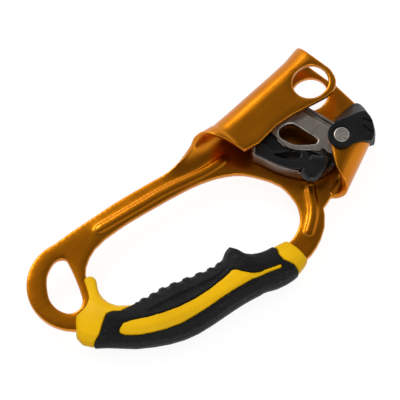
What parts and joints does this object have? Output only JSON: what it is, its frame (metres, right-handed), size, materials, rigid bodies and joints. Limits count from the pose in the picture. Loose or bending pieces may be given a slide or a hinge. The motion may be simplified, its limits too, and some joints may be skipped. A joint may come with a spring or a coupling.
{
  "type": "hand ascender",
  "caption": "Folded plate rope clamp with a handle: a sprung toothed cam closes on the rope channel and a thumb catch turns in the cam.",
  "frame": {"origin": "middle of the underside of the bounding box, with the ascender lying on its back", "axes": "+Y runs up the rope from the attachment eye to the head, +Z is the front face with the rolled channel wall, and the rope channel is on the -X side"},
  "size_m": [0.0972, 0.195, 0.0323],
  "materials": {
    "frame_plate": "orange-gold anodised, glossy",
    "cam_steel": "dark chromed casting, worn",
    "rivet_steel": "satin",
    "spring_steel": "bright drawn wire",
    "black_plastic": "fine satin",
    "grip_hard": "yellow, satin",
    "grip_soft": "black, matte"
  },
  "bodies": {
    "handle_frame": {"frame": "frame_plate", "grip_core": "grip_hard", "grip_cover": "grip_soft", "palm_cap": "black_plastic", "axle_rivet": "rivet_steel", "axle_sleeve": "rivet_steel", "rear_washer": "rivet_steel"},
    "cam_body": {"cam": "cam_steel", "cam_spring": "spring_steel", "catch_pin": "rivet_steel", "catch_spring": "spring_steel"},
    "catch_lever": {"catch": "black_plastic"}
  },
  "joints": [
    {"name": "cam_pivot", "type": "hinge", "parent": "handle_frame", "child": "cam_body", "pos_m": [0.0148, 0.07339, 0.02051], "axis": [0, 0, 1], "range_deg": [0, 27], "stiffness_Nm_per_rad": 0.04, "springref_deg": -34.38, "deforming": ["cam_spring"]},
    {"name": "catch_pivot", "type": "hinge", "parent": "cam_body", "child": "catch_lever", "pos_m": [0.0099, 0.04837, 0.02051], "axis": [0, 0, -1], "range_deg": [0, 5], "stiffness_Nm_per_rad": 0.01, "springref_deg": -28.65, "deforming": ["catch_spring"]}
  ]
}
